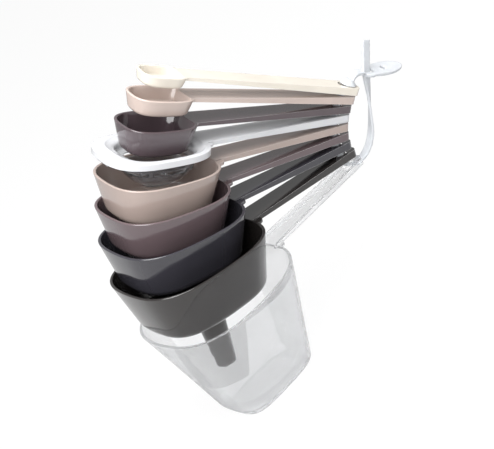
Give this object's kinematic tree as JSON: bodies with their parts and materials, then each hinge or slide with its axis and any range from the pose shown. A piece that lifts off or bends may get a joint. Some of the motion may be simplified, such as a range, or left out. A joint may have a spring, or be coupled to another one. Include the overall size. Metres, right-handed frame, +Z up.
{
  "type": "measuring cup set",
  "caption": "Nesting measuring cups and spoons with a clear jug, a funnel and an egg separator, fanned out on a flexible hanging strap through their handles.",
  "frame": {"origin": "centre of the clear jug's base, on its underside", "axes": "+Z up along the jug, +X from the bowls towards the handle tips"},
  "size_m": [0.2402, 0.0892, 0.2034],
  "materials": {
    "clear_jug_plastic": "clear gloss",
    "funnel_plastic": "gloss",
    "half_cup_plastic": "gloss",
    "third_cup_plastic": "gloss",
    "quarter_cup_plastic": "gloss",
    "egg_separator_plastic": "gloss",
    "tablespoon_plastic": "gloss",
    "teaspoon_plastic": "gloss",
    "half_teaspoon_plastic": "gloss",
    "hanging_strap_silicone": "satin translucent"
  },
  "bodies": {
    "clear_jug": {"clear_jug": "clear_jug_plastic", "hanging_strap": "hanging_strap_silicone"},
    "funnel": {"funnel": "funnel_plastic"},
    "half_cup": {"half_cup": "half_cup_plastic"},
    "third_cup": {"third_cup": "third_cup_plastic"},
    "quarter_cup": {"quarter_cup": "quarter_cup_plastic"},
    "egg_separator": {"egg_separator": "egg_separator_plastic"},
    "tablespoon": {"tablespoon": "tablespoon_plastic"},
    "teaspoon": {"teaspoon": "teaspoon_plastic"},
    "half_teaspoon": {"half_teaspoon": "half_teaspoon_plastic"}
  },
  "joints": [
    {"name": "half_teaspoon_fan", "type": "hinge", "parent": "clear_jug", "child": "half_teaspoon", "pos_m": [0.1422, 0, 0.089], "axis": [0.487, 0.8249, -0.287], "range_deg": [-42.35, 3], "deforming": ["hanging_strap"]},
    {"name": "funnel_fan", "type": "hinge", "parent": "clear_jug", "child": "funnel", "pos_m": [0.1422, 0, 0.089], "axis": [0.487, 0.8249, -0.287], "range_deg": [-9.53, 0.68]},
    {"name": "half_cup_fan", "type": "hinge", "parent": "clear_jug", "child": "half_cup", "pos_m": [0.1422, 0, 0.089], "axis": [0.487, 0.8249, -0.287], "range_deg": [-16.38, 1.16]},
    {"name": "third_cup_fan", "type": "hinge", "parent": "clear_jug", "child": "third_cup", "pos_m": [0.1422, 0, 0.089], "axis": [0.487, 0.8249, -0.287], "range_deg": [-21.7, 1.54]},
    {"name": "quarter_cup_fan", "type": "hinge", "parent": "clear_jug", "child": "quarter_cup", "pos_m": [0.1422, 0, 0.089], "axis": [0.487, 0.8249, -0.287], "range_deg": [-26.8, 1.9]},
    {"name": "egg_separator_fan", "type": "hinge", "parent": "clear_jug", "child": "egg_separator", "pos_m": [0.1422, 0, 0.089], "axis": [0.487, 0.8249, -0.287], "range_deg": [-30.57, 2.17]},
    {"name": "tablespoon_fan", "type": "hinge", "parent": "clear_jug", "child": "tablespoon", "pos_m": [0.1422, 0, 0.089], "axis": [0.487, 0.8249, -0.287], "range_deg": [-34.41, 2.44]},
    {"name": "teaspoon_fan", "type": "hinge", "parent": "clear_jug", "child": "teaspoon", "pos_m": [0.1422, 0, 0.089], "axis": [0.487, 0.8249, -0.287], "range_deg": [-39.08, 2.77]}
  ],
  "couplings": [
    {"joint": "funnel_fan", "follows": "half_teaspoon_fan", "ratio": 0.225},
    {"joint": "half_cup_fan", "follows": "half_teaspoon_fan", "ratio": 0.3868},
    {"joint": "third_cup_fan", "follows": "half_teaspoon_fan", "ratio": 0.5124},
    {"joint": "quarter_cup_fan", "follows": "half_teaspoon_fan", "ratio": 0.6328},
    {"joint": "egg_separator_fan", "follows": "half_teaspoon_fan", "ratio": 0.7218},
    {"joint": "tablespoon_fan", "follows": "half_teaspoon_fan", "ratio": 0.8125},
    {"joint": "teaspoon_fan", "follows": "half_teaspoon_fan", "ratio": 0.9228}
  ]
}
